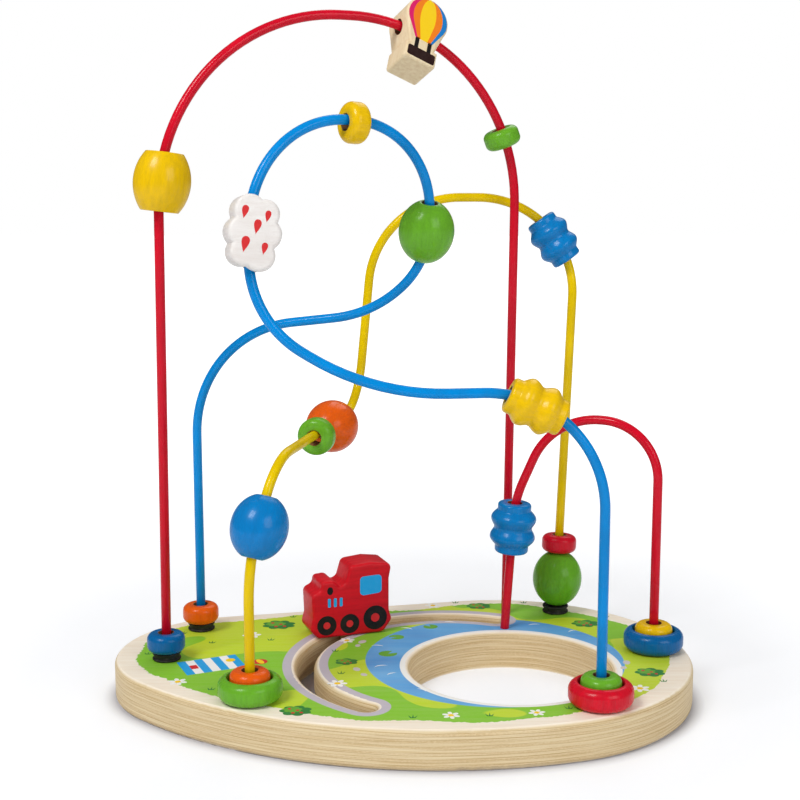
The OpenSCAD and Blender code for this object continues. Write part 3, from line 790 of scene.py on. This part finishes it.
def ribs(wide, long, steps=96):
    """A collar at each end and two full ribs with a waist, all run into each other."""
    collar_r, waist_r, rib_r = 0.37 * wide, 0.42 * wide, wide / 2
    rib, reach, half = 0.19 * long, 0.17 * long, long / 2
    round_r = 0.06 * long
    soft = []
    for k in range(steps + 1):
        z = -half + long * k / steps
        near = min(1.0, abs(abs(z) - rib) / reach)
        low = waist_r if abs(z) < rib else collar_r
        r = low + (rib_r - low) * (0.5 + 0.5 * math.cos(math.pi * near)) ** 0.6
        short = max(0.0, 1 - (half - abs(z)) / round_r)
        soft.append((r - round_r * (1 - math.sqrt(1 - short ** 2)), z))
    return bore_mouths(soft, long)


# The forms of the beads, by width and length in mm and then what the form needs besides
PROFILES = {
    "ball": round_bead(25, 27, 1),
    "barrel": belly(25.5, 26, 16.8),
    "disc": flat_bead(17.5, 9, 3.1),
    "ribbed": ribs(20.5, 25),
    "broad_ribbed": ribs(22.14, 25),
    "ring": flat_bead(28, 10, 3.8, 9.8, 1.0),
}


def wire_axis(body):
    """The middle of a bead and the wire's direction there, from the joint that moves it."""
    low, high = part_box(body)
    middle = (low + high) / 2
    joint = next(j for j in frame["joints"] if j["child"] == body)
    axis = Vector(joint["axis"])
    if joint["type"] == "hinge":
        axis = axis.cross(middle - Vector(joint["pos_m"]))
    return middle, axis.normalized()


# Each bead's form and colour. The tall foot bead and the small ring have their blue darkened with
# painted shade.
BEADS = {
    "tall_foot_bead": ("disc", "deep_blue"),
    "tall_barrel": ("barrel", "yellow"),
    "tall_disc": ("disc", "green"),
    "loop_foot_bead": ("disc", "orange"),
    "loop_ball": ("ball", "green"),
    "loop_disc": ("disc", "yellow"),
    "loop_ribbed": ("ribbed", "yellow"),
    "loop_hub": ("disc", "green"),
    "loop_ring": ("ring", "red"),
    "wave_hub": ("disc", "orange"),
    "wave_ring": ("ring", "green"),
    "wave_front_ball": ("ball", "blue"),
    "wave_disc": ("disc", "green"),
    "wave_ball": ("ball", "orange"),
    "wave_ribbed": ("ribbed", "blue"),
    "wave_back_disc": ("disc", "red"),
    "wave_back_ball": ("ball", "green"),
    "small_ribbed": ("broad_ribbed", "blue"),
    "small_hub": ("disc", "yellow"),
    "small_ring": ("ring", "deep_blue"),
}
for number, (node, (form, colour)) in enumerate(BEADS.items()):
    middle, axis = wire_axis(node)
    spin = Matrix.Rotation(math.radians(SPIN * number), 4, "Z")
    along_wire = axis.to_track_quat("Z", "Y").to_matrix().to_4x4()
    bead_place = Matrix.Translation(middle) @ along_wire @ spin
    bead = turned(node + "_turned", PROFILES[form], bead_place)
    square_up(bead)
    bead.data.materials.append(lacquer("lacquer_" + node, LACQUER[colour], bead_place))
    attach(bead, node)
    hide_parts(node)
    "bead_" + colour.removeprefix("deep_")

# Balloon
# A flat balloon, sawn from beech and sanded round, with its stripes, ropes and basket printed
# on both faces. The tall wire goes through it from side to side.

# How far a bore's middle hangs from the wire's, in mm
HANG = 1.2

# The most of a side that a rounded corner takes up
CORNER_SHARE = 0.4


def rounded(corners, radius, step=15.0, sharp=()):
    """A closed outline with its corners rounded, but for those that stay sharp."""
    ring = []
    for k, corner in enumerate(corners):
        here = Vector(corner)
        before, after = Vector(corners[k - 1]), Vector(corners[(k + 1) % len(corners)])
        arriving, leaving = (here - before).normalized(), (after - here).normalized()
        turn = math.atan2(arriving.x * leaving.y - arriving.y * leaving.x, arriving.dot(leaving))
        if abs(turn) < math.radians(step) or corner in sharp:
            ring.append(tuple(here))
            continue
        room = CORNER_SHARE * min((here - before).length, (after - here).length)
        reach = min(radius * math.tan(abs(turn) / 2), room)
        r = reach / math.tan(abs(turn) / 2)
        start = here - arriving * reach
        side = math.copysign(1, turn)
        centre = start + Vector((-arriving.y, arriving.x)) * r * side
        steps = max(2, math.ceil(math.degrees(abs(turn)) / step))
        for n in range(steps + 1):
            ring += placed([start - centre], *centre, math.degrees(turn * n / steps))
    return ring


def inset(ring, depth):
    """An outline moved inwards, for outlines that run anticlockwise."""
    moved = []
    for k, (u, v) in enumerate(ring):
        here = Vector((u, v))
        arriving = (here - Vector(ring[k - 1])).normalized()
        leaving = (Vector(ring[(k + 1) % len(ring)]) - here).normalized()
        inward = Vector((-arriving.y - leaving.y, arriving.x + leaving.x)).normalized()
        part = max(0.5, inward.dot(Vector((-arriving.y, arriving.x))))
        moved.append(tuple(here + inward * (depth / part)))
    return moved


def sawn(name, ring, thick, edge, place, steps=5):
    """A flat piece with an outline in its X and Z, its edges sanded round."""
    points, faces = [], []
    count = len(ring)
    half = thick / 2
    layers = []
    for k in range(steps + 1):
        a = math.pi / 2 * k / steps
        layers.append((half - edge + edge * math.cos(a), edge * (1 - math.sin(a))))
    levels = [(-y, depth) for y, depth in layers] + [(y, depth) for y, depth in layers[::-1]]
    for y, depth in levels:
        points += [(u, y, v) for u, v in inset(ring, depth)]
    for low in range(0, len(points) - count, count):
        for k in range(count):
            n = (k + 1) % count
            faces.append((low + k, low + count + k, low + count + n, low + n))
    faces.append(tuple(range(count)))
    faces.append(tuple(range(len(points) - count, len(points)))[::-1])
    return outline_piece(name, points, faces, place, smooth=45)


DRILL_L = 60
DRILL_TURN = 0.37


def bore(piece, sides=48, smooth=40):
    """Drills the wire's hole through a piece along its Z axis.

    The drill is turned by a part of a side, so that no edge of it lies on one of the piece.
    """
    points = []
    for z in (-DRILL_L / 2, DRILL_L / 2):
        for side in range(sides):
            a = 2 * math.pi * (side + DRILL_TURN) / sides
            points.append((BORE_R * math.cos(a), BORE_R * math.sin(a), z))
    faces = [tuple(range(sides))[::-1], tuple(range(sides, 2 * sides))]
    for k in range(sides):
        n = (k + 1) % sides
        faces.append((k, n, sides + n, sides + k))
    drill = outline_piece(piece.name + "_drill", points, faces, piece.matrix_world)
    cut = piece.modifiers.new("bore", "BOOLEAN")
    cut.operation = "DIFFERENCE"
    cut.object = drill
    cut_piece = piece.evaluated_get(bpy.context.evaluated_depsgraph_get())
    drilled = bpy.data.meshes.new_from_object(cut_piece)
    piece.modifiers.clear()
    piece.data = drilled
    drilled.polygons.foreach_set("use_smooth", [True] * len(drilled.polygons))
    drilled.set_sharp_from_angle(angle=math.radians(smooth))
    bpy.data.objects.remove(drill)


def on_bend(route, number, angle):
    """A place on a bend: X away from its centre, Z along the wire, hung on the wire."""
    centre, axis, start, _ = bend(route, number)
    out = (start - centre).normalized()
    turned_to = Matrix((out, axis.cross(out), axis)).transposed().to_4x4()
    to_place = Matrix.Rotation(math.radians(angle), 4, "Z")
    _, radii, _ = ROUTES[route]
    to_wire = Matrix.Translation(((radii[number - 1] - HANG) * MM, 0, 0))
    along_wire = Matrix.Rotation(-RIGHT_ANGLE, 4, "X")
    return Matrix.Translation(centre * MM) @ turned_to @ to_place @ to_wire @ along_wire


# Bare wood in the bore of a figure, darkened with painted shade
FIGURE_BORE_WOOD_AND_SHADE = rgb(120, 84, 54)


def figure_wood(name, colour, dark, painted, made_at=None, bored=False):
    """Sanded beech with its flecks, bare or under paint, and bare wood darkened with painted
    shade in the bore if it has one.
    """
    made, shader, place = finish(name, made_at)
    grain = place.stretch(0.05, 0.5, 0.45).noise(4)
    flecks = place.stretch(0.5, 2.4, 2.4).noise(2)
    surface = grain.over(0.52, 0.4) * 0.7 + flecks.over(0.62, 0.2) * 0.3
    surface = surface.mix(colour, dark)
    if bored:
        x, y, _ = place.axes()
        surface = distance(x, y).over(BORE_R + 0.15, 0.2).mix(FIGURE_BORE_WOOD_AND_SHADE, surface)
    dress(shader, {
        "Base Color": surface,
        "Roughness": 0.5 - painted * 0.15 + grain * 0.1,
        "Normal": (grain * 0.6 + flecks * 0.4).bump(0.05),
        "Coat Weight": 0.06,
        "Coat Roughness": 0.3,
        "Specular IOR Level": 0.15,
    })
    return made


BALLOON_T = 18.0
ENVELOPE_R = 11.16
ENVELOPE_U = 5.04
BASKET_LOW = -19.8
BASKET_RIM = -11.1
BASKET_TOP = -10.8
BASKET_HALF = 8.28
NECK_HALF = 6.7
NECK_ANGLE = 117
BALLOON_CORNER = 1.4
BALLOON_EDGE = 1.3
BALLOON_AT = 23
BALLOON_TURN = math.radians(-25)
envelope = list(arc(ENVELOPE_U, 0, ENVELOPE_R, -NECK_ANGLE, NECK_ANGLE, 39))
left_shoulder = [(BASKET_RIM, -BASKET_HALF), (BASKET_TOP, -NECK_HALF)]
right_shoulder = [(BASKET_TOP, NECK_HALF), (BASKET_RIM, BASKET_HALF)]
basket = [(BASKET_LOW, BASKET_HALF), (BASKET_LOW, -BASKET_HALF)]
balloon_outline = rounded(
    basket + left_shoulder + envelope + right_shoulder, BALLOON_CORNER,
    sharp=left_shoulder + right_shoulder,
)
balloon_place = on_bend("tall_wire", 2, BALLOON_AT) @ Matrix.Rotation(BALLOON_TURN, 4, "Z")
beech = figure_wood(
    "figure_beech", rgb(240, 222, 186), rgb(218, 190, 146), 0.0, balloon_place, True)
balloon = sawn("tall_balloon_sawn", balloon_outline, BALLOON_T, BALLOON_EDGE, balloon_place)
bore(balloon)
square_up(balloon)
balloon.data.materials.append(beech)
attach(balloon, "tall_balloon")
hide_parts("tall_balloon")

# The printed envelope is round down to a taper, which ends at its mouth
PRINT_R = ENVELOPE_R - 0.9
PRINT_LOW = -8.2
PRINT_TOP = ENVELOPE_U + 0.99 * PRINT_R
TAPER = -0.45 * PRINT_R
MOUTH_HALF = 4.5
INNER, OUTER = 0.4, 0.76
ROPE_LOW, ROPE_TOP = -14.0, PRINT_LOW + 0.6
ROPE_NEAR, ROPE_FAR = 2.3, 4.4
BASKET_PRINT = ((-18.6, -7.2), (-18.6, 7.2), (-13.2, 7.2), (-13.2, -7.2))


def half_width(u):
    """Half the width of the printed envelope at a height."""
    off = u - ENVELOPE_U
    if off > TAPER:
        return math.sqrt(max(0.0, PRINT_R ** 2 - off ** 2))
    wide = math.sqrt(PRINT_R ** 2 - TAPER ** 2)
    return wide + (MOUTH_HALF - wide) * (off - TAPER) / (PRINT_LOW - ENVELOPE_U - TAPER)


def gore(left, right, steps=28):
    """One stripe of the envelope, between two shares of its half width."""
    heights = [PRINT_LOW + (PRINT_TOP - PRINT_LOW) * k / steps for k in range(steps + 1)]
    rise = [(u, left * half_width(u)) for u in heights]
    return rise + [(u, right * half_width(u)) for u in heights[::-1][1:]]


def on_face(side, thick):
    """The plane of a printed face: outline X and Z in it, ink towards the face's side."""
    turn = Matrix(((1, 0, 0), (0, 0, side), (0, 1, 0))).to_4x4()
    return Matrix.Translation((0, side * thick / 2 * MM, 0)) @ turn


def mirrored(shapes, side):
    """Shapes as films takes them: anticlockwise, seen from outside the face."""
    fixed = []
    for shape in shapes:
        area = sum(a[0] * b[1] - b[0] * a[1] for a, b in zip(shape, shape[1:] + shape[:1]))
        fixed.append(shape if (area > 0) == (side < 0) else shape[::-1])
    return fixed


def face_print(name, prints, place, thick, body):
    """Prints on both faces of a sawn piece: name, shapes, ink and layer of each colour."""
    for side, word in ((-1, "front"), (1, "rear")):
        for label, shapes, material, layer in prints:
            films(
                f"{name}_{label}_{word}", mirrored(shapes, side), material, body, layer,
                place @ on_face(side, thick))


pink_ink = ink("ink_pink", rgb(222, 24, 104))
orange_ink = ink("ink_orange", rgb(244, 128, 20))
blue_ink = ink("ink_blue", rgb(14, 124, 200))
black_ink = ink("ink_black", rgb(20, 16, 18))
brown_ink = ink("ink_brown", rgb(44, 22, 22))
ropes = [
    [(ROPE_LOW, side * ROPE_FAR), (ROPE_LOW, side * ROPE_NEAR),
     (ROPE_TOP, side * ROPE_NEAR), (ROPE_TOP, side * ROPE_FAR)]
    for side in (-1, 1)
]
face_print("balloon", (
    ("pink", [gore(-1, -OUTER)], pink_ink, 1),
    ("orange", [gore(-OUTER, -INNER), gore(INNER, OUTER)], orange_ink, 1),
    ("yellow", [gore(-INNER, INNER)], yellow_ink, 1),
    ("blue", [gore(OUTER, 1)], blue_ink, 1),
    ("ropes", ropes, black_ink, 1),
    ("basket", [rounded(BASKET_PRINT, 0.9)], brown_ink, 2),
), balloon_place, BALLOON_T, "tall_balloon")

# Cloud
# A flat cloud of beech, sanded round and painted white, with drops printed on both faces.
# The blue wire goes up through it.
CLOUD_T = 18.0
CLOUD_EDGE = 1.8
CLOUD_AT = 4
CLOUD_TURN = 75
LOBES = (
    (2, 9, 6.5), (-4, 7.5, 6), (4.5, 0.5, 6.5),
    (-4.5, -0.5, 6.5), (4, -7.5, 6), (-2, -9, 6.5),
)
DROPS = (
    (-4.2, 4.6, 3.3), (3.6, 6.2, 2.5), (0.6, -2.4, 3.0), (4.8, -6.6, 2.4), (-4.4, -8.2, 2.7),
)
DROP_TURN = 12
UPRIGHT = 0.8


def lobed(lobes, count=120):
    """The outline round a group of circles that overlap round the origin."""
    ring = []
    for k in range(count):
        a = 2 * math.pi * k / count
        c, s = math.cos(a), math.sin(a)
        reach = 0.0
        for u, v, r in lobes:
            along, off = u * c + v * s, u * s - v * c
            if abs(off) < r:
                reach = max(reach, along + math.sqrt(r * r - off * off))
        ring.append((reach * c, reach * s))
    return ring


def on_run(route, number, far, turn):
    """A place on a straight run: Z along the wire, turned about it by an angle in degrees.

    The turn starts from straight up, or from the back where the run itself goes up.
    """
    _, radii, corners = ROUTES[route]
    here, there = Vector(corners[number]), Vector(corners[number + 1])
    along = (there - here).normalized()
    _, _, _, angle = bend(route, number)
    at = here + along * (radii[number - 1] * math.tan(angle / 2) + far)
    up = Vector((0, 1, 0)) if abs(along.z) > UPRIGHT else Vector((0, 0, 1))
    up = (up - along * up.dot(along)).normalized()
    turned_to = Matrix((up, along.cross(up), along)).transposed().to_4x4()
    return Matrix.Translation(at * MM) @ turned_to @ Matrix.Rotation(math.radians(turn), 4, "Z")


def drop(at_u, at_v, size, count=32):
    """A rain drop: round below, drawn out to a point."""
    ring = []
    for k in range(count):
        a = 2 * math.pi * k / count
        half = 0.72 * math.sin(a) * math.sin(a / 2) ** 1.5
        ring.append((size * half, size * math.cos(a)))
    return placed(ring, at_u, at_v, DROP_TURN)


cloud_place = on_run("loop_wire", 5, CLOUD_AT, CLOUD_TURN)
cloud_place = cloud_place @ Matrix.Translation((HANG * MM, 0, 0))
white_paint = figure_wood(
    "figure_white_paint", rgb(240, 236, 232), rgb(226, 218, 212), 1.0, cloud_place, True)
cloud = sawn("loop_cloud_sawn", lobed(LOBES), CLOUD_T, CLOUD_EDGE, cloud_place)
bore(cloud)
square_up(cloud)
cloud.data.materials.append(white_paint)
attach(cloud, "loop_cloud")
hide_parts("loop_cloud")
face_print("cloud", (
    ("drops", [drop(*d) for d in DROPS], red_ink, 1),
), cloud_place, CLOUD_T, "loop_cloud")

# Train
# A steam engine sawn from beech, rounded over and painted red, with its wheels, window and
# vents printed on both sides. It stands on a peg that runs in the slot.
TRAIN_AT = Vector((-27.79, 36.83, 18.3))
TRAIN_T = 18.0
TRAIN_CORNER = 3.0
TRAIN_EDGE = 1.6
TRAIN_TURN = math.radians(20)
TRAIN_CORNERS = (
    (-17, 0), (16.5, 0), (21, 6), (19.5, 11), (19.5, 27), (21, 34.5), (10, 36), (-0.5, 35),
    (-3, 26.5), (-6, 25), (-9, 28.5), (-15, 28), (-15.5, 24), (-20, 22), (-19.5, 10),
    (-21, 4.5),
)
WHEELS = ((-12.8, 6.4, 4.9), (-1.1, 6.2, 4.9), (12, 7.9, 6.1))
HUB_SHARE = 0.36
LAMP = (-11.0, 23.6, 1.5, 2.0)
WINDOW = ((4.2, 19.6), (15.4, 20.4), (15.4, 29.6), (4.2, 29.2))
VENTS = (-12.2, -9.2, -6.2)
VENT_WIDE = 1.5
VENT_LOW, VENT_TOP = 15.4, 19.8
train_place = Matrix.Translation(TRAIN_AT * MM) @ Matrix.Rotation(TRAIN_TURN, 4, "Z")
train_paint = figure_wood(
    "train_red_paint", rgb(216, 18, 34), rgb(186, 14, 28), 1.0, train_place)
train_outline = rounded(TRAIN_CORNERS, TRAIN_CORNER)
train = sawn("train_body_sawn", train_outline, TRAIN_T, TRAIN_EDGE, train_place)
square_up(train)
train.data.materials.append(train_paint)
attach(train, "train")
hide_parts("train_body")
wheels = [oval(u, v, r, r, 0, 40) for u, v, r in WHEELS]
hubs = [oval(u, v, HUB_SHARE * r, HUB_SHARE * r, 0, 24) for u, v, r in WHEELS]
panes = [rounded(WINDOW, 2.0)]
for u in VENTS:
    w = u + VENT_WIDE
    panes.append(rounded([(u, VENT_LOW), (w, VENT_LOW), (w, VENT_TOP), (u, VENT_TOP)], 0.4))
face_print("train", (
    ("wheels", wheels + [oval(*LAMP)], black_ink, 1),
    ("hubs", hubs, red_ink, 2),
    ("panes", panes, sky_ink, 1),
), train_place, TRAIN_T, "train")

# Peg, washer and screw
# A beech peg glued into the train goes down through the slot. A plastic washer in the groove
# below it, held by a steel screw, keeps the train on the board.
peg_wood = figure_wood("peg_beech", rgb(226, 196, 150), rgb(196, 158, 110), 0.0)
clothe("train_peg", peg_wood)
plastic, shader, place = finish("washer_plastic")
haze = place.stretch(0.7, 0.7, 0.7).noise(3)
dress(shader, {
    "Base Color": haze.mix(rgb(48, 48, 50), rgb(70, 70, 72)),
    "Roughness": 0.38 + haze * 0.2,
    "Normal": haze.bump(0.03),
})
clothe("train_washer", plastic)
steel, shader, place = finish("screw_steel")
brushed = place.stretch(2.5, 2.5, 0.4).noise(3)
dress(shader, {
    "Base Color": brushed.mix(rgb(150, 150, 152), rgb(196, 196, 198)),
    "Metallic": 1.0,
    "Roughness": 0.25 + brushed * 0.25,
    "Normal": brushed.bump(0.01),
})
clothe("train_screw", steel)

# Studio
# A pale floor that runs out to white, soft light from the upper left and front, and the
# camera where the photograph was taken from.
FLOOR_HALF = 6000
FLOOR = (0.88, 0.895, 0.93, 1)
# The colour of the shadow painted on the floor round the board, and how far out it reaches, in mm
FLOOR_PAINTED_SHADOW = (0.6, 0.6, 0.65, 1)
PAINTED_SHADOW_REACH = 12
SHADE = 6
WHITE = (1, 1, 1, 1)
GLOW = 1.3
GLOW_LEAST = 0.31
GLOW_MIDDLE = (0, 40)
GLOW_R = 330
GLOW_SOFT = 300
corners = [(u * FLOOR_HALF, v * FLOOR_HALF, 0) for u, v in ((-1, -1), (1, -1), (1, 1), (-1, 1))]
floor = outline_piece("floor", corners, [(0, 1, 2, 3)])
floor_paint, shader, place = finish("floor_paint")
x, y, _ = place.axes()

# A shadow is painted on the floor where the board stands on it, fading out within a few mm round
# its edge, but not in the pond's opening
under = inside_edge()
opening = from_point(POND).over(POND_R, 1)
near = under.over(-PAINTED_SHADOW_REACH / 2, PAINTED_SHADOW_REACH) * opening
dress(shader, {
    "Base Color": (near * near * near).mix(FLOOR, FLOOR_PAINTED_SHADOW),
    "Roughness": 0.9,
    "Specular IOR Level": 0.1,
})

# For the camera alone, the floor glows more and more white away from the board
tree = floor_paint.node_tree
seen = place.node("ShaderNodeLightPath", out="Is Camera Ray")
glow = place.node("ShaderNodeEmission", inputs={"Color": WHITE, "Strength": GLOW})
away = from_point(GLOW_MIDDLE).over(GLOW_R, GLOW_SOFT) * (1 - GLOW_LEAST) + GLOW_LEAST
white = away * (1 - under.over(-SHADE / 2, SHADE) * opening) * seen
lit = Value(tree, shader.outputs[0])
blended = place.node("ShaderNodeMixShader", inputs={0: white, 1: lit, 2: glow})
dress(tree.nodes["Material Output"], {"Surface": blended})
floor.data.materials.append(floor_paint)

# The sky is white to the camera, dim as light, and dimmer still in reflections
AMBIENT = 0.4
MIRRORED = 0.08
world = bpy.data.worlds.new("studio")
world.use_nodes = True
bpy.context.scene.world = world
sky = Value(world.node_tree)
seen = sky.node("ShaderNodeLightPath", out="Is Camera Ray")
glossy = sky.node("ShaderNodeLightPath", out="Is Glossy Ray")
strength = seen + (1 - seen) * (glossy * (MIRRORED - AMBIENT) + AMBIENT)
dress(world.node_tree.nodes["Background"], {"Color": WHITE, "Strength": strength})
LAMPS_AIM = Vector((0, 0, 0.1))


def lamp(name, at, power, size):
    """A soft square lamp that shines at the middle of the toy."""
    light = bpy.data.lights.new(name, "AREA")
    light.energy = power
    light.size = size
    piece = bpy.data.objects.new(name, light)
    piece.location = at
    piece.rotation_euler = (LAMPS_AIM - Vector(at)).to_track_quat("-Z", "Y").to_euler()
    bpy.context.scene.collection.objects.link(piece)


# The lamps by place, power and size
lamp("key", (-0.75, -0.8, 1.35), 14.5, 0.6)
lamp("fill", (0.9, -1.1, 0.7), 6.0, 0.8)
lamp("rear", (0.3, 1.0, 1.2), 4.0, 0.9)

# The camera, as it was fitted to the photograph
CAMERA_AT = Vector((-1.26, -615.6, 235.65))
PITCH = math.radians(8.886)
FOCAL = 61.6
SENSOR = 36
lens = bpy.data.cameras.new("camera")
lens.sensor_fit = "HORIZONTAL"
lens.sensor_width = SENSOR
lens.lens = FOCAL
lens.clip_start = 0.01
camera = bpy.data.objects.new("camera", lens)
camera.location = CAMERA_AT * MM
camera.rotation_euler = (RIGHT_ANGLE - PITCH, 0, 0)
bpy.context.scene.collection.objects.link(camera)
bpy.context.scene.camera = camera
bpy.context.scene.view_settings.view_transform = "Standard"
